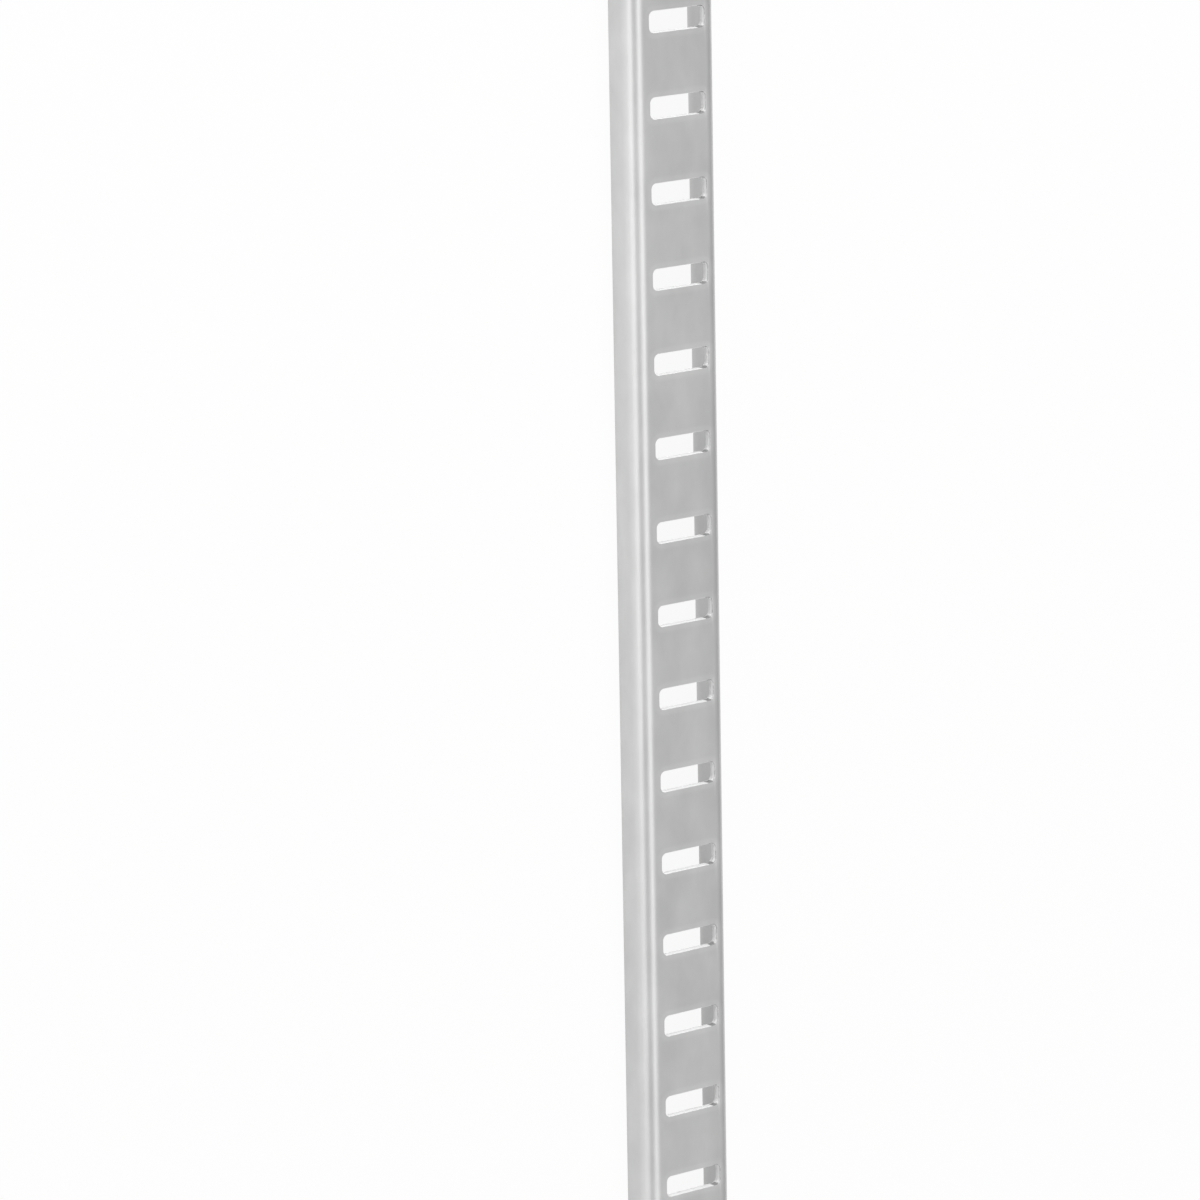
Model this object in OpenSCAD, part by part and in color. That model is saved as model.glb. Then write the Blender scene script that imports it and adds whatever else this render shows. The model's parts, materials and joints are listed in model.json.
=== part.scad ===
// Shelf pilaster strip: one length of cold-formed steel channel, slotted down its face.
// It lies on its two flange edges with the slotted face up. The origin is on the floor,
// under the middle of the strip: X runs across the face and Y along the length.

/* [Section] */
// Width across the slotted face, outside to outside (5/8 inch)
face_w = 15.875; // [14:0.125:26]
// Depth from the slotted face to the flange edges
depth = 5.7; // [4.5:0.1:12]
// Thickness of the sheet
sheet_t = 1.2; // [0.8:0.1:1.5]
// Inside radius of the two bends
bend_r = 1.0; // [0.4:0.1:1.3]

/* [Slots] */
// Distance from one slot to the next (1/2 inch)
slot_pitch = 12.7; // [8:0.1:25.4]
// Length of a slot, across the face
slot_w = 10.3; // [5:0.1:10.4]
// Height of a slot, along the strip (1/8 inch)
slot_h = 3.2; // [2.5:0.1:6]
// How far the row of slots sits off the face's centre line, towards +X
slot_shift = 0.4; // [0:0.1:0.6]
// Radius of a slot's corners
slot_corner_r = 0.85; // [0.3:0.05:1.2]

/* [Length] */
// Length that the strip is sold in (24 inches)
strip_l = 609.6; // [76.2:12.7:1219.2]
// Distance from a sheared end to the middle of the first slot
end_to_slot = 6.35; // [4:0.05:12]

/* [Hidden] */
// Facets on a full turn of a bend or a slot corner
arc_steps = 64;
// How far a cutting shape runs past the face that it cuts
cut_over = 1;
// Rounding allowance when whole slots are counted
count_slack = 0.001;
bend_outer_r = bend_r + sheet_t;
slot_run = strip_l - 2 * end_to_slot;
slot_count = floor(slot_run / slot_pitch + count_slack) + 1;
first_slot_y = end_to_slot - strip_l / 2;

// Outline with two square feet and two rounded shoulders, centred on X and standing on Y = 0
module shouldered(w, h, r) {
    translate([-w / 2, 0]) square([w, h - r]);
    translate([-w / 2 + r, 0]) square([w - 2 * r, h]);
    for (side = [-1, 1])
        translate([side * (w / 2 - r), h - r]) circle(r = r, $fn = arc_steps);
}

// Section of the formed channel: web on top, a bend at each side and two short flanges
module channel_section() {
    difference() {
        shouldered(face_w, depth, bend_outer_r);
        // The hollow keeps one sheet thickness all round and is open below
        translate([0, -cut_over])
            shouldered(face_w - 2 * sheet_t, depth - sheet_t + cut_over, bend_r);
    }
}

// One straight length of the channel, laid along Y
module channel() {
    rotate([90, 0, 0])
        translate([0, 0, -strip_l / 2])
            linear_extrude(height = strip_l) channel_section();
}

// Outline that the punch cuts: a rectangle across the face with rounded corners
module slot_outline() {
    square([slot_w - 2 * slot_corner_r, slot_h], center = true);
    square([slot_w, slot_h - 2 * slot_corner_r], center = true);
    for (side = [-1, 1], end = [-1, 1])
        translate([side * (slot_w / 2 - slot_corner_r), end * (slot_h / 2 - slot_corner_r)])
            circle(r = slot_corner_r, $fn = arc_steps);
}

// The row of slots, as the solids that come out of the web
module slot_row() {
    for (i = [0 : slot_count - 1])
        translate([slot_shift, first_slot_y + i * slot_pitch, depth - sheet_t - cut_over])
            linear_extrude(height = sheet_t + 2 * cut_over) slot_outline();
}

// The whole strip: bent from one piece of sheet, with every slot cut clean through the web
module pilaster_strip() {
    color([0.76, 0.76, 0.75])
        difference() {
            channel();
            slot_row();
        }
}

pilaster_strip();
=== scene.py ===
# Shelf pilaster strip: one length of slotted steel channel, lying on its flange edges
# on a white studio floor and seen from above, from its left and from its +Y end.
import json
import math

import bmesh
import bpy
from mathutils import Matrix, Vector


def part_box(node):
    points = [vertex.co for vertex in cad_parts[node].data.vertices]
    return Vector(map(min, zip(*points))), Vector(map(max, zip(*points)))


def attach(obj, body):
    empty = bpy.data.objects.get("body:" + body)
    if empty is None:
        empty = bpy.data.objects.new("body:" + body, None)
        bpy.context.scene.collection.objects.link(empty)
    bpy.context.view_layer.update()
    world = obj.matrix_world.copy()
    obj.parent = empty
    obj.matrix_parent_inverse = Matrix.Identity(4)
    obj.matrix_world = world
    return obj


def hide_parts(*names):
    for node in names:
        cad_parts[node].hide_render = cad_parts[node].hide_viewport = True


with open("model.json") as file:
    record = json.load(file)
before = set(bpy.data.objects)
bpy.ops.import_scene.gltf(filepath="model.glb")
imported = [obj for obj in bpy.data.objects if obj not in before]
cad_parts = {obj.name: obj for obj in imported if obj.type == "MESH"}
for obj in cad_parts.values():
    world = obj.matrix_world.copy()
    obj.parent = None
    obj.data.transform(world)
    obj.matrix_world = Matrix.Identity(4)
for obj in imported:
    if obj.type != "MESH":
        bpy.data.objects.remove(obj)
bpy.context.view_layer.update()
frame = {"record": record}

MM = 0.001

# Outer size of the strip and the row of its slots, from the frame
low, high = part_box("pilaster_strip")
STRIP_W = high.x - low.x
STRIP_L = high.y - low.y
STRIP_D = high.z - low.z
mounts = {mount["name"]: Vector(mount["pos_m"]) for mount in frame["record"]["mounts"]}
SLOT_SHIFT = mounts["slot_02"].x
SLOT_PITCH = (mounts["slot_06"].y - mounts["slot_02"].y) / 4
SLOT_COUNT = round(STRIP_L / SLOT_PITCH)

# Sheet, bends and slots
SHEET_T = 1.2 * MM
SHEET_BACK = STRIP_D - SHEET_T
BEND_R = 2.2 * MM
SLOT_W = 10.3 * MM
SLOT_H = 3.2 * MM
SLOT_R = 0.85 * MM
SLOT_END = SLOT_W / 2

# The punched edge: how far the face rolls over, and where the clean cut ends and the tear starts
ROLL_W = 0.06 * MM
ROLL_D = 0.07 * MM
ROLL_STEPS = 3
SHEAR_D = 0.62 * MM
TEAR_OUT = 0.03 * MM
BACK_BREAK = 0.03 * MM
EDGE_BREAK = 0.09 * MM

# How finely the strip is modelled
LOOP_STEPS = 32
SIDE_STEPS = LOOP_STEPS // 4
BEND_STEPS = 12
CLOSE = 0.005 * MM
# Upright and leaning faces are told from level ones by the height of their normals
UPRIGHT = 0.5
LEANING = 0.97

# Relief on the sheet: the draw-in round each slot, the mill's grain and the coat's mottle
DRAWN_W = 0.9 * MM
DRAWN_D = 0.015
GRAIN_D = 0.0006
MOTTLE_D = 0.002

# The coat: its two greys, how much paler it is by its mottle, a painted highlight round a slot and in a
# bend, painted shade along the +X side, and where each of the last three comes or goes
COAT_DULL = 0.625
COAT_PALE = 0.745
MOTTLED = 0.66
PAINTED_RING = 0.34
PAINTED_BEND_HIGHLIGHT = 0.3
PAINTED_SHADE_X = 0.2
PAINTED_RING_SPAN = (0.45 * MM, 1.15 * MM)
PAINTED_BEND_HIGHLIGHT_LOW = (2.9 * MM, 1.9 * MM)
PAINTED_BEND_HIGHLIGHT_HIGH = (1.45 * MM, 1.0 * MM)
PAINTED_SHADE_X_SIDE = (2.5 * MM, 5.5 * MM)

# Painted shade on the slots' walls, counted back from the slot's end and down from the face, and how
# ragged its edge is
PAINTED_CORNER_SHADE_START = (1.5 * MM, 1.15 * MM)
PAINTED_CORNER_SHADE_STOP = (0.45 * MM, 0.2 * MM)
PAINTED_CORNER_SHADE_DEPTH = (1.3 * MM, 0.9 * MM)
PAINTED_END_SHADE_START = (0.5 * MM, 0.15 * MM)
PAINTED_END_SHADE_D = 0.3 * MM
RAGGED = 0.5 * MM

# The paper floor: how much of it glows for the camera, and for the metal: in a painted shadow near the
# strip and plain far off
GLOW_SEEN = 0.92
GLOW_IN_PAINTED_SHADOW = 0.58
GLOW_FAR = 0.85
NEAR_STRIP = 2 * MM
OFF_STRIP = 20 * MM
# Painted light: the glow the metal sees grows paler towards +Y
PAINTED_LIGHT_REACH = 85 * MM
PAINTED_LIGHT_RANGE = (0.95, 1.25)
# Painted shadow under the strip, where it glows less, and painted light at the foot of a flange, in from
# the strip's side
PAINTED_SHADOW_UNDER_STRIP = 0.86
PAINTED_LIGHT_AT_FOOT = 1.2
PAINTED_LIGHT_FOOT_REACH = 2.2 * MM
PAINTED_LIGHT_FOOT_END = (0.6 * MM, 0.2 * MM)

# The picture: the camera stands off the strip's left side and towards its +Y end
PICTURE_SIDE = 1200
SENSOR_W = 36.0
FOCAL_PX = 6382.0
VIEW_LEFT = math.radians(37.30)
VIEW_END = math.radians(13.00)
VIEW_ROLL = math.radians(-1.007)
VIEW_DISTANCE = 941.4 * MM
VIEW_TARGET = Vector((-15.60 * MM, -2.05 * MM, STRIP_D))


def grey(value):
    return (value, value, value, 1.0)


def deselect_all():
    bpy.ops.object.select_all(action="DESELECT")


def edit(piece):
    deselect_all()
    bpy.context.view_layer.objects.active = piece
    piece.select_set(True)
    bpy.ops.object.mode_set(mode="EDIT")


def stop_editing():
    bpy.ops.object.mode_set(mode="OBJECT")


def select_verts(piece, wanted):
    """Selects the vertices whose place passes the test, and the edges and faces between them."""
    shape = bmesh.from_edit_mesh(piece.data)
    bpy.ops.mesh.select_all(action="DESELECT")
    bpy.context.tool_settings.mesh_select_mode = (True, False, False)
    for vert in shape.verts:
        vert.select_set(wanted(vert.co))
    shape.select_flush_mode()
    bmesh.update_edit_mesh(piece.data)


def select_faces(piece, wanted):
    """Selects the faces whose middle and normal pass the test."""
    shape = bmesh.from_edit_mesh(piece.data)
    bpy.ops.mesh.select_all(action="DESELECT")
    bpy.context.tool_settings.mesh_select_mode = (False, False, True)
    for face in shape.faces:
        face.select_set(wanted(face.calc_center_median(), face.normal))
    bmesh.update_edit_mesh(piece.data)


def merge_close(piece):
    bpy.ops.mesh.select_all(action="SELECT")
    bpy.ops.mesh.remove_doubles(threshold=CLOSE)


def apply_modifier(piece, kind, **settings):
    """Adds one modifier to the piece with these settings and applies it."""
    deselect_all()
    bpy.context.view_layer.objects.active = piece
    piece.select_set(True)
    modifier = piece.modifiers.new(kind.title(), kind)
    for name, value in settings.items():
        setattr(modifier, name, value)
    bpy.ops.object.modifier_apply(modifier=modifier.name)


def pull_into_slot(piece):
    """Pulls the four quarters of the selected rings apart, from a round hole into the slot's outline."""
    reach_x = SLOT_END - SLOT_R
    reach_y = SLOT_H / 2 - SLOT_R
    shape = bmesh.from_edit_mesh(piece.data)
    rings = {vert.index for vert in shape.verts if vert.select}
    for across, along in ((1, 1), (-1, 1), (-1, -1), (1, -1)):
        shape = bmesh.from_edit_mesh(piece.data)
        shape.verts.ensure_lookup_table()
        bpy.ops.mesh.select_all(action="DESELECT")
        for index in rings:
            place = shape.verts[index].co
            shape.verts[index].select_set(place.x * across > 0 and place.y * along > 0)
        shape.select_flush_mode()
        bpy.ops.transform.translate(value=(across * reach_x, along * reach_y, 0))


def repeat_along(piece):
    """Sets copies of one slot's length end to end over the whole strip."""
    apply_modifier(
        piece, "ARRAY", count=SLOT_COUNT, use_relative_offset=False,
        use_constant_offset=True, constant_offset_displace=(0, SLOT_PITCH, 0),
        use_merge_vertices=True, merge_threshold=CLOSE)
    edit(piece)
    bpy.ops.mesh.select_all(action="SELECT")
    bpy.ops.transform.translate(value=(0, -(SLOT_COUNT - 1) * SLOT_PITCH / 2, 0))
    stop_editing()


def model_formed_sheet():
    """The channel with a plain hole for each slot: web, bends and flanges, with the sheet's thickness."""
    half_flat = STRIP_W / 2 - BEND_R
    bpy.ops.mesh.primitive_grid_add(
        x_subdivisions=SIDE_STEPS, y_subdivisions=SIDE_STEPS, size=1, location=(0, 0, 0))
    sheet = bpy.context.object
    sheet.name = "slotted_channel"
    edit(sheet)
    bpy.ops.transform.resize(value=(2 * half_flat, SLOT_PITCH, 1))
    bpy.ops.transform.translate(value=(0, 0, STRIP_D))
    inside_x = half_flat - CLOSE
    inside_y = SLOT_PITCH / 2 - CLOSE
    select_verts(sheet, lambda at: abs(at.x) < inside_x and abs(at.y) < inside_y)
    bpy.ops.mesh.delete(type="VERT")
    # The hole in the web takes the outline of the slot's rolled edge
    bpy.ops.mesh.primitive_circle_add(
        vertices=LOOP_STEPS, radius=SLOT_R + ROLL_W, location=(0, 0, STRIP_D),
        rotation=(0, 0, math.pi / LOOP_STEPS))
    pull_into_slot(sheet)
    half_hole = SLOT_END + ROLL_W + CLOSE
    select_verts(sheet, lambda at: abs(at.x) < half_hole and abs(at.y) < SLOT_H)
    bpy.ops.transform.translate(value=(SLOT_SHIFT, 0, 0))
    bpy.ops.mesh.select_all(action="SELECT")
    bpy.ops.mesh.bridge_edge_loops()
    for side in (-1, 1):
        select_verts(sheet, lambda at: abs(at.x - side * half_flat) < CLOSE)
        bpy.ops.mesh.spin(
            steps=BEND_STEPS, angle=-side * math.pi / 2,
            center=(side * half_flat, 0, STRIP_D - BEND_R), axis=(0, 1, 0))
        select_verts(sheet, lambda at: abs(at.x - side * STRIP_W / 2) < CLOSE)
        bpy.ops.mesh.extrude_region_move(
            TRANSFORM_OT_translate={"value": (0, 0, -(STRIP_D - BEND_R))})
    merge_close(sheet)
    bpy.ops.mesh.normals_make_consistent(inside=False)
    stop_editing()
    repeat_along(sheet)
    apply_modifier(sheet, "SOLIDIFY", thickness=SHEET_T, offset=-1, use_even_offset=True)
    return sheet


def punched_profile():
    """The section of a slot's edge as (distance out, height), from the face down to the back."""
    profile = []
    for step in range(ROLL_STEPS + 1):
        turn = step / ROLL_STEPS * math.pi / 2
        out = SLOT_R + ROLL_W * (1 - math.sin(turn))
        profile.append((out, STRIP_D - ROLL_D * (1 - math.cos(turn))))
    profile.append((SLOT_R, STRIP_D - SHEAR_D))
    profile.append((SLOT_R + TEAR_OUT, SHEET_BACK + BACK_BREAK))
    profile.append((SLOT_R + TEAR_OUT + BACK_BREAK, SHEET_BACK))
    profile.append((SLOT_R + ROLL_W, SHEET_BACK))
    return profile


def model_slot_edges():
    """The edge of every slot, turned as a round hole's edge and then pulled out to the slot's length."""
    profile = punched_profile()
    bpy.ops.mesh.primitive_plane_add(size=MM, location=(0, 0, 0))
    rim = bpy.context.object
    rim.name = "slot_edges"
    edit(rim)
    bpy.ops.mesh.merge(type="CENTER")
    bpy.ops.transform.translate(value=(profile[0][0], 0, profile[0][1]))
    for start, end in zip(profile, profile[1:]):
        bpy.ops.mesh.extrude_region_move(
            TRANSFORM_OT_translate={"value": (end[0] - start[0], 0, end[1] - start[1])})
    bpy.ops.mesh.select_all(action="SELECT")
    bpy.ops.transform.rotate(
        value=math.pi / LOOP_STEPS, orient_axis="Z", center_override=(0, 0, 0))
    bpy.ops.mesh.spin(steps=LOOP_STEPS, angle=2 * math.pi, center=(0, 0, 0), axis=(0, 0, 1))
    merge_close(rim)
    bpy.ops.mesh.select_all(action="SELECT")
    pull_into_slot(rim)
    bpy.ops.mesh.select_all(action="SELECT")
    bpy.ops.transform.translate(value=(SLOT_SHIFT, 0, 0))
    stop_editing()
    repeat_along(rim)
    return rim


def model_strip():
    """The whole strip as one closed skin."""
    deselect_all()
    strip = model_formed_sheet()
    edges = model_slot_edges()
    # The straight rims that the sheet got at its slots give way to the punched edges
    edit(strip)
    half_hole = SLOT_END + ROLL_W + CLOSE
    end_y = STRIP_L / 2 - CLOSE
    select_faces(strip, lambda at, normal: (
        abs(normal.z) < UPRIGHT and abs(at.x - SLOT_SHIFT) < half_hole and abs(at.y) < end_y
        and SHEET_BACK < at.z < STRIP_D))
    bpy.ops.mesh.delete(type="FACE")
    stop_editing()
    deselect_all()
    edges.select_set(True)
    strip.select_set(True)
    bpy.context.view_layer.objects.active = strip
    bpy.ops.object.join()
    edit(strip)
    merge_close(strip)
    bpy.ops.mesh.normals_make_consistent(inside=False)
    stop_editing()
    apply_modifier(
        strip, "BEVEL", width=EDGE_BREAK, segments=2, limit_method="ANGLE",
        angle_limit=math.radians(60))
    bpy.ops.object.shade_smooth_by_angle(angle=math.radians(40))
    # The large faces stay flat right up to the small rounded edges
    apply_modifier(strip, "WEIGHTED_NORMAL", mode="FACE_AREA", weight=50, keep_sharp=True)
    return strip


def finish_strip(strip):
    """Satin steel all over, except where the punch and the shear have cut through the sheet."""
    strip.data.materials.append(satin_steel())
    strip.data.materials.append(punched_steel())
    strip.data.materials.append(sheared_steel())
    half_hole = SLOT_END + ROLL_W
    end_y = STRIP_L / 2 - EDGE_BREAK / 2

    edit(strip)
    # The rounded edges of the sheared ends keep the coat, so the test stops short of them
    select_faces(strip, lambda at, normal: (
        abs(normal.z) < LEANING and abs(at.x - SLOT_SHIFT) < half_hole and abs(at.y) < end_y - EDGE_BREAK
        and SHEET_BACK < at.z < STRIP_D))
    strip.active_material_index = 1
    bpy.ops.object.material_slot_assign()
    select_faces(strip, lambda at, normal: abs(at.y) > end_y or at.z < EDGE_BREAK / 2)
    strip.active_material_index = 2
    bpy.ops.object.material_slot_assign()
    stop_editing()


class Nodes:
    """Short hands for building one node tree."""

    def __init__(self, tree):
        self.tree = tree

    def add(self, kind, **settings):
        node = self.tree.nodes.new(kind)
        for name, value in settings.items():
            setattr(node, name, value)
        return node

    def link(self, start, end):
        self.tree.links.new(start, end)

    def maths(self, operation, first, second):
        node = self.add("ShaderNodeMath", operation=operation)
        for socket, value in zip(node.inputs, (first, second)):
            if isinstance(value, (int, float)):
                socket.default_value = value
            else:
                self.link(value, socket)
        return node.outputs[0]

    def plus(self, first, second):
        return self.maths("ADD", first, second)

    def minus(self, first, second):
        return self.maths("SUBTRACT", first, second)

    def times(self, first, second):
        return self.maths("MULTIPLY", first, second)

    def larger(self, first, second):
        return self.maths("MAXIMUM", first, second)

    def ranged(self, value, from_low, from_high, to_low, to_high, smooth=False):
        node = self.add("ShaderNodeMapRange")
        if smooth:
            node.interpolation_type = "SMOOTHSTEP"
        self.link(value, node.inputs["Value"])
        for name, number in zip(("From Min", "From Max", "To Min", "To Max"),
                                (from_low, from_high, to_low, to_high)):
            node.inputs[name].default_value = number
        return node.outputs["Result"]

    def blend(self, share, start, end):
        """A colour between two others; each end is a colour or a socket that gives one."""
        node = self.add("ShaderNodeMix", data_type="RGBA")
        self.link(share, node.inputs["Factor"])
        for name, colour in (("A", start), ("B", end)):
            if isinstance(colour, tuple):
                node.inputs[name].default_value = colour
            else:
                self.link(colour, node.inputs[name])
        return node.outputs["Result"]

    def place(self):
        return self.add("ShaderNodeTexCoord").outputs["Object"]

    def split(self, place):
        node = self.add("ShaderNodeSeparateXYZ")
        self.link(place, node.inputs[0])
        return node.outputs

    def noise(self, place, stretch, scale, detail, roughness):
        mapping = self.add("ShaderNodeMapping")
        mapping.inputs["Scale"].default_value = stretch
        self.link(place, mapping.inputs["Vector"])
        node = self.add("ShaderNodeTexNoise")
        node.inputs["Scale"].default_value = scale
        node.inputs["Detail"].default_value = detail
        node.inputs["Roughness"].default_value = roughness
        self.link(mapping.outputs["Vector"], node.inputs["Vector"])
        return node.outputs["Fac"]

    def bump(self, surface, relief, height, strength=1.0):
        node = self.add("ShaderNodeBump")
        node.inputs["Strength"].default_value = strength
        node.inputs["Distance"].default_value = height
        self.link(relief, node.inputs["Height"])
        self.link(node.outputs["Normal"], surface.inputs["Normal"])


def new_material(name):
    material = bpy.data.materials.new(name)
    material.use_nodes = True
    return material, Nodes(material.node_tree), material.node_tree.nodes["Principled BSDF"]


def distance_off_slot(nodes, place):
    """How far a point of the face is from the nearest slot's core, which its outline is SLOT_R from."""
    at = nodes.split(place)
    # The slots lie half a pitch from the strip's middle, so the row is folded there
    row = nodes.maths("PINGPONG", at["Y"], SLOT_PITCH / 2)
    off_y = nodes.minus(SLOT_PITCH / 2 - SLOT_H / 2 + SLOT_R, row)
    off_x = nodes.minus(at["X"], SLOT_SHIFT)
    off_x = nodes.minus(nodes.maths("ABSOLUTE", off_x, 0), SLOT_END - SLOT_R)
    off_x = nodes.maths("POWER", nodes.larger(off_x, 0), 2)
    off_y = nodes.maths("POWER", nodes.larger(off_y, 0), 2)
    return nodes.maths("POWER", nodes.plus(off_x, off_y), 0.5)


def by_depth(nodes, at, depths, start, end, smooth=True):
    """Changes between two depths below the face, given as (deep, shallow)."""
    return nodes.ranged(at["Z"], STRIP_D - depths[0], STRIP_D - depths[1], start, end, smooth)


def coat_mottle_and_painted_light(nodes, place, tone, off_slot):
    """How pale the coat is, from 0 to 1, by its mottle, with painted highlights round each slot and at
    each bend's foot and painted shade along the +X side.
    """
    at = nodes.split(place)
    mottled = nodes.ranged(tone, 0.35, 0.65, 0, MOTTLED)
    # A paler ring round each slot is a painted highlight, standing for the brighter reflection where the
    # face is drawn down there
    painted_ring = nodes.ranged(
        off_slot, SLOT_R + PAINTED_RING_SPAN[0], SLOT_R + PAINTED_RING_SPAN[1], 1, 0, smooth=True)
    paler_with_painted_light = nodes.plus(mottled, nodes.times(painted_ring, PAINTED_RING))
    # A painted highlight on the foot of each bend, which widens the bend's mirrored highlight
    painted_bend_highlight = nodes.times(
        by_depth(nodes, at, PAINTED_BEND_HIGHLIGHT_LOW, 0, PAINTED_BEND_HIGHLIGHT),
        by_depth(nodes, at, PAINTED_BEND_HIGHLIGHT_HIGH, 1, 0))
    # Painted shade: the coat is painted a little darker along the +X side
    dull_tear_and_painted_shade = nodes.ranged(at["X"], PAINTED_SHADE_X_SIDE[0], PAINTED_SHADE_X_SIDE[1], 0, PAINTED_SHADE_X, smooth=True)
    return nodes.minus(nodes.plus(paler_with_painted_light, painted_bend_highlight), dull_tear_and_painted_shade)


def satin_steel():
    """Cold-rolled sheet with a thin bright coat: satin, barely mottled, with a faint lengthwise grain,
    and painted light in its grey.
    """
    steel, nodes, surface = new_material("satin steel")
    place = nodes.place()
    mottle = nodes.noise(place, stretch=(1, 0.55, 1), scale=230, detail=3.0, roughness=0.55)
    cloud = nodes.noise(place, stretch=(1, 0.4, 1), scale=55, detail=2.0, roughness=0.5)
    grain = nodes.noise(place, stretch=(1, 0.03, 1), scale=4200, detail=2.0, roughness=0.6)

    tone = nodes.plus(nodes.times(mottle, 0.6), nodes.times(cloud, 0.4))
    off_slot = distance_off_slot(nodes, place)
    mottle_and_painted_light = coat_mottle_and_painted_light(nodes, place, tone, off_slot)
    coat = nodes.blend(mottle_and_painted_light, grey(COAT_DULL), grey(COAT_PALE))
    nodes.link(coat, surface.inputs["Base Color"])
    surface.inputs["Metallic"].default_value = 1.0
    shine = nodes.plus(nodes.times(tone, 0.5), nodes.times(grain, 0.5))
    nodes.link(nodes.ranged(shine, 0.3, 0.7, 0.36, 0.45), surface.inputs["Roughness"])

    # The punch has drawn the face down a little all round each slot
    drawn = nodes.maths("POWER", nodes.ranged(off_slot, SLOT_R, SLOT_R + DRAWN_W, 1, 0), 2)
    relief = nodes.plus(nodes.times(drawn, -DRAWN_D), nodes.times(grain, GRAIN_D))
    relief = nodes.plus(relief, nodes.times(mottle, MOTTLE_D))
    nodes.bump(surface, relief, MM)
    return steel


def cut_marks():
    """Node group: scores that run in the direction of the cut, and the torn part of the wall below it."""
    group = bpy.data.node_groups.new("cut marks", "ShaderNodeTree")
    for name, kind in (("Place", "NodeSocketVector"), ("Cut Depth", "NodeSocketFloat")):
        group.interface.new_socket(name, in_out="INPUT", socket_type=kind)
    for name in ("Scores", "Torn", "Relief"):
        group.interface.new_socket(name, in_out="OUTPUT", socket_type="NodeSocketFloat")
    nodes = Nodes(group)
    given = nodes.add("NodeGroupInput").outputs
    result = nodes.add("NodeGroupOutput").inputs
    place = given["Place"]
    scores = nodes.noise(place, stretch=(1, 1, 0.06), scale=5200, detail=2.0, roughness=0.6)
    grit = nodes.noise(place, stretch=(1, 1, 1), scale=6500, detail=3.0, roughness=0.6)
    below = nodes.minus(STRIP_D, nodes.split(place)["Z"])
    below = nodes.plus(below, nodes.times(scores, -0.25 * MM))
    past = nodes.minus(below, given["Cut Depth"])
    torn = nodes.ranged(past, -0.2 * MM, 0, 0, 1, smooth=True)
    nodes.link(scores, result["Scores"])
    nodes.link(torn, result["Torn"])
    nodes.link(nodes.plus(scores, nodes.times(torn, grit)), result["Relief"])


def add_cut_marks(nodes, place, cut_depth):
    marks = nodes.add("ShaderNodeGroup", node_tree=bpy.data.node_groups["cut marks"])
    nodes.link(place, marks.inputs["Place"])
    marks.inputs["Cut Depth"].default_value = cut_depth
    return marks.outputs


def by_slot_end(nodes, across, distances, start, end, smooth=True):
    """Changes between two distances back from the slot's end, given as (far, near)."""
    return nodes.ranged(across, SLOT_END - distances[0], SLOT_END - distances[1], start, end, smooth)


def punched_steel():
    """The walls of the slots: matt and near-white, partly a painted highlight, with painted shade near
    their +X corners, on their rolled top and up the +X end wall, and darker where they tore.
    """
    steel, nodes, surface = new_material("punched steel")
    place = nodes.place()
    marks = add_cut_marks(nodes, place, 0.55 * MM)
    at = nodes.split(place)
    ragged = nodes.noise(place, stretch=(1, 1, 0.5), scale=1500, detail=2.0, roughness=0.6)
    across = nodes.minus(at["X"], SLOT_SHIFT)
    across = nodes.plus(across, nodes.times(nodes.minus(ragged, 0.5), RAGGED))
    # Painted shade: a dark patch on the wall near each +X corner, where the wall mirrors the shadowed
    # floor inside the channel
    near_corner = nodes.times(
        by_slot_end(nodes, across, PAINTED_CORNER_SHADE_START, 0, 1),
        by_slot_end(nodes, across, PAINTED_CORNER_SHADE_STOP, 1, 0))
    painted_corner_shade = nodes.times(near_corner, by_depth(nodes, at, PAINTED_CORNER_SHADE_DEPTH, 0, 1))
    worn = nodes.times(nodes.times(marks["Torn"], marks["Scores"]), 0.25)
    # Painted shade darkens the rolled top of the wall
    painted_roll_shade = by_depth(nodes, at, (2 * ROLL_D, ROLL_D / 2), 0, 0.25, smooth=False)
    # Painted shade: the end wall at +X is painted darker up to its rolled edge
    painted_end_shade = nodes.times(
        by_slot_end(nodes, across, PAINTED_END_SHADE_START, 0, 1, smooth=False),
        by_depth(nodes, at, (PAINTED_END_SHADE_D, 0), 0, 0.78, smooth=False))
    painted_end_shade = nodes.times(painted_end_shade, nodes.ranged(ragged, 0.3, 0.7, 0.65, 1.25))
    wear_and_painted_shade = nodes.larger(nodes.larger(painted_corner_shade, worn), nodes.larger(painted_roll_shade, painted_end_shade))

    # Near-white is partly a painted highlight for the bright floor the walls mirror; the dark grey is the
    # torn wear and the painted shade
    nodes.link(nodes.blend(wear_and_painted_shade, grey(0.95), grey(0.28)), surface.inputs["Base Color"])
    surface.inputs["Metallic"].default_value = 0.12
    nodes.link(nodes.ranged(marks["Torn"], 0, 1, 0.35, 0.6), surface.inputs["Roughness"])
    nodes.bump(surface, marks["Relief"], 0.03 * MM, strength=0.8)
    return steel


def sheared_steel():
    """The sheared ends and the flanges' edges: grey, scored, duller where the sheet tore."""
    steel, nodes, surface = new_material("sheared steel")
    marks = add_cut_marks(nodes, nodes.place(), 0.4 * MM)
    dull_tear_and_painted_shade = nodes.times(marks["Torn"], marks["Scores"])
    nodes.link(nodes.blend(dull_tear_and_painted_shade, grey(0.52), grey(0.36)), surface.inputs["Base Color"])
    surface.inputs["Metallic"].default_value = 0.7
    nodes.link(nodes.ranged(marks["Torn"], 0, 1, 0.4, 0.58), surface.inputs["Roughness"])
    nodes.bump(surface, marks["Relief"], 0.02 * MM, strength=0.6)
    return steel


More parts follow.
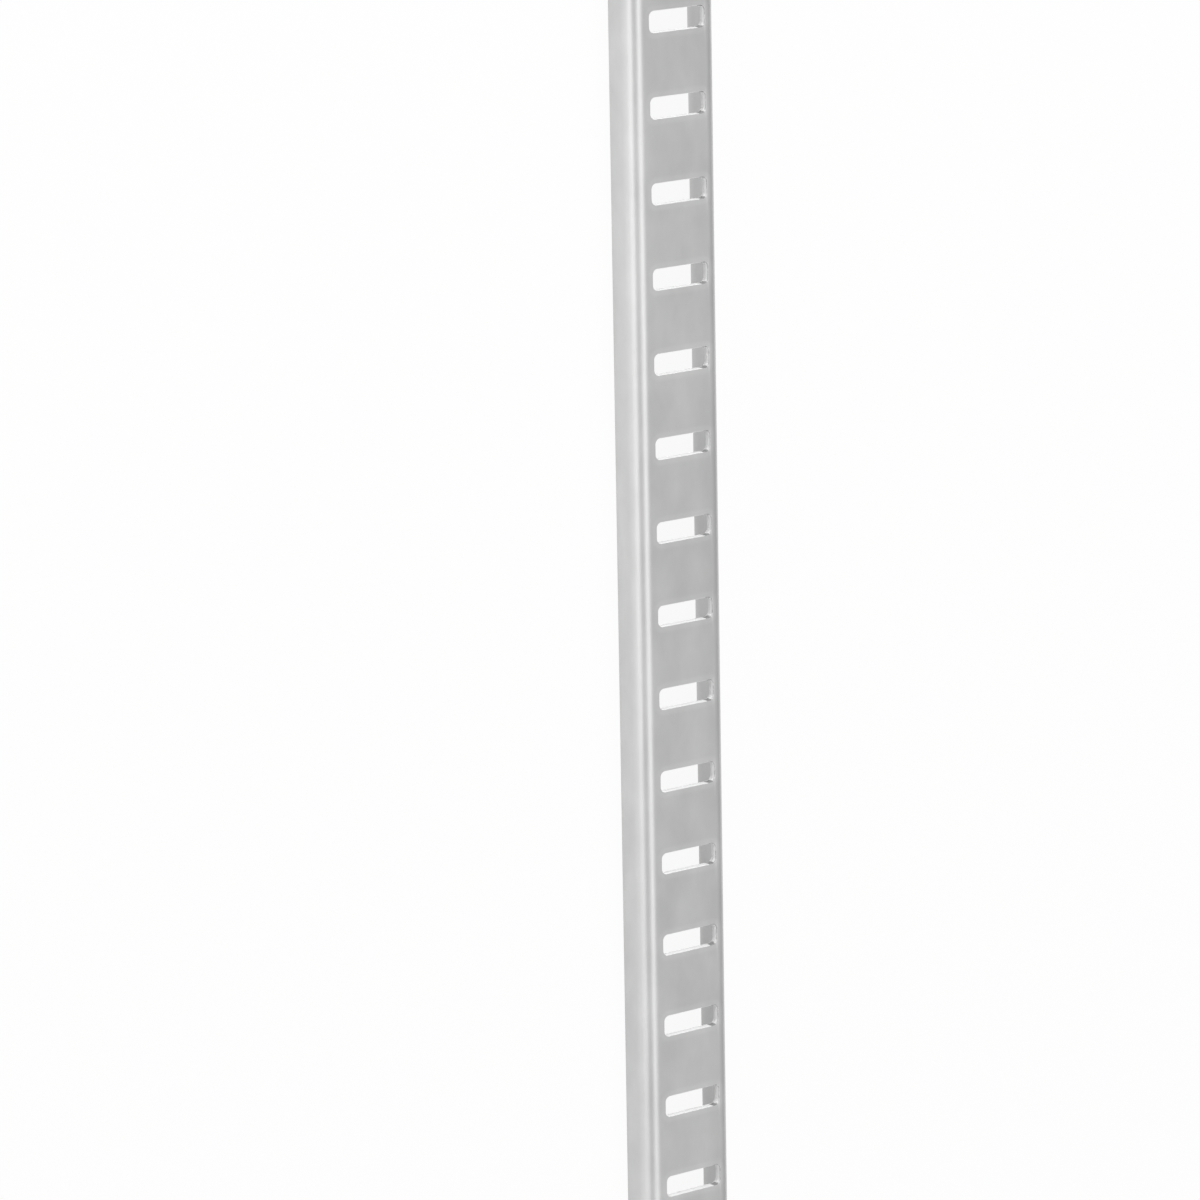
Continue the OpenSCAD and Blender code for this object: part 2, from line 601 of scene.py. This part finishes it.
def mirrored_glow_with_painted_light(nodes):
    """How much the paper glows in the metal, with painted shadow beside and under the strip and painted
    light towards +Y and at the flanges' feet.
    """
    at = nodes.split(nodes.place())
    off_strip = nodes.minus(nodes.maths("ABSOLUTE", at["X"], 0), STRIP_W / 2)
    # Painted shadow: the metal sees the paper glow less beside the strip
    glow = nodes.ranged(off_strip, NEAR_STRIP, OFF_STRIP, GLOW_IN_PAINTED_SHADOW, GLOW_FAR)
    paler_with_painted_light = nodes.ranged(at["Y"], -PAINTED_LIGHT_REACH, PAINTED_LIGHT_REACH, *PAINTED_LIGHT_RANGE)
    # Painted shadow under the strip, dimmer still, but painted light at the foot of the flanges
    painted_shadow_and_foot_light = nodes.times(
        nodes.ranged(off_strip, -PAINTED_LIGHT_FOOT_REACH, -SHEET_T, PAINTED_SHADOW_UNDER_STRIP, PAINTED_LIGHT_AT_FOOT),
        nodes.ranged(off_strip, -PAINTED_LIGHT_FOOT_END[0], -PAINTED_LIGHT_FOOT_END[1], 1, 1 / PAINTED_LIGHT_AT_FOOT))
    return nodes.times(glow, nodes.times(paler_with_painted_light, painted_shadow_and_foot_light))


def add_floor():
    """A white paper floor, which the camera sees almost plain, with a soft shadow left on it, and which
    the metal sees with painted shadow and painted light.
    """
    bpy.ops.mesh.primitive_plane_add(size=20, location=(0, 0, 0))
    floor = bpy.context.object
    floor.name = "studio_floor"
    paper = bpy.data.materials.new("white paper")
    paper.use_nodes = True
    paper.node_tree.nodes.clear()
    nodes = Nodes(paper.node_tree)
    path = nodes.add("ShaderNodeLightPath").outputs
    mirrored = nodes.larger(path["Is Glossy Ray"], path["Is Transmission Ray"])
    share = nodes.larger(
        nodes.times(path["Is Camera Ray"], GLOW_SEEN),
        nodes.times(mirrored, mirrored_glow_with_painted_light(nodes)))
    matt = nodes.add("ShaderNodeBsdfDiffuse")
    matt.inputs["Color"].default_value = grey(0.72)
    glow = nodes.add("ShaderNodeEmission")
    glow.inputs["Color"].default_value = grey(1.0)
    glow.inputs["Strength"].default_value = 1.0
    mix = nodes.add("ShaderNodeMixShader")
    nodes.link(share, mix.inputs["Fac"])
    nodes.link(matt.outputs[0], mix.inputs[1])
    nodes.link(glow.outputs[0], mix.inputs[2])
    out = nodes.add("ShaderNodeOutputMaterial")
    nodes.link(mix.outputs[0], out.inputs["Surface"])
    floor.data.materials.append(paper)


def left_of_upright(degrees):
    """The direction that leans this far from straight up to the strip's left."""
    lean = math.radians(degrees)
    return (-math.sin(lean), 0, math.cos(lean))


def add_light(name, towards, distance, width, length, radiance, shift=0.0):
    """A soft box in this direction from the strip; its shift moves it along the strip."""
    lamp = bpy.data.lights.new(name, "AREA")
    lamp.shape = "RECTANGLE"
    lamp.size = width
    lamp.size_y = length
    lamp.energy = radiance * math.pi * width * length
    box = bpy.data.objects.new(name, lamp)
    bpy.context.collection.objects.link(box)
    away = Vector(towards).normalized()
    across = Vector((0, 1, 0)).cross(away).normalized()
    along = away.cross(across)
    box.matrix_world = Matrix.Translation(away * distance + Vector((0, shift, 0))) @ Matrix(
        (across, along, away)).transposed().to_4x4()
    box.visible_camera = False
    return box


def light_room():
    """An even room, paler overhead and dimmer towards +X, which the camera sees as plain white."""
    world = bpy.data.worlds.new("studio")
    bpy.context.scene.world = world
    world.use_nodes = True
    nodes = Nodes(world.node_tree)
    sky = world.node_tree.nodes["Background"]
    towards = nodes.split(nodes.add("ShaderNodeTexCoord").outputs["Generated"])
    brightness = nodes.times(
        nodes.ranged(towards["Z"], 0, 0.65, 0.46, 0.69),
        nodes.ranged(towards["X"], 0.7, 0.95, 1, 0.9))
    seen = nodes.add("ShaderNodeLightPath").outputs["Is Camera Ray"]
    nodes.link(nodes.blend(seen, brightness, grey(1.0)), sky.inputs["Color"])
    sky.inputs["Strength"].default_value = 1.0


def light_studio():
    """The room, and soft boxes above the strip, at its left and off its +Y end."""
    light_room()
    add_light("overhead box", left_of_upright(5), distance=1.1,
              width=0.62, length=1.6, radiance=0.90, shift=0.2)
    add_light("side box", left_of_upright(79), distance=1.3,
              width=0.85, length=1.6, radiance=1.06, shift=0.2)
    # This one lights the matt cut walls, and the metal doesn't mirror it
    end_box = add_light("end box", (0.05, 0.85, 0.55), distance=1.3,
                        width=0.9, length=0.6, radiance=7.0)
    end_box.visible_glossy = False


def place_camera():
    """The camera looks at the middle of the picture, where the strip passes a little to the right."""
    camera = bpy.data.objects.new("camera", bpy.data.cameras.new("camera"))
    bpy.context.collection.objects.link(camera)
    camera.data.sensor_width = SENSOR_W
    camera.data.lens = FOCAL_PX / PICTURE_SIDE * SENSOR_W
    look = Vector((
        math.sin(VIEW_LEFT) * math.cos(VIEW_END),
        -math.sin(VIEW_END),
        -math.cos(VIEW_LEFT) * math.cos(VIEW_END)))
    level = Vector((math.cos(VIEW_LEFT), 0, math.sin(VIEW_LEFT)))
    rise = level.cross(look)
    right = math.cos(VIEW_ROLL) * level + math.sin(VIEW_ROLL) * rise
    up = math.cos(VIEW_ROLL) * rise - math.sin(VIEW_ROLL) * level
    turn = Matrix((right, up, -look)).transposed().to_4x4()
    camera.matrix_world = Matrix.Translation(VIEW_TARGET - look * VIEW_DISTANCE) @ turn
    camera.data.clip_start = 0.01
    camera.data.clip_end = 50
    bpy.context.scene.camera = camera


strip = model_strip()
cut_marks()
finish_strip(strip)
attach(strip, "root")
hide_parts("pilaster_strip")

add_floor()
light_studio()
place_camera()
bpy.context.scene.view_settings.view_transform = "Standard"
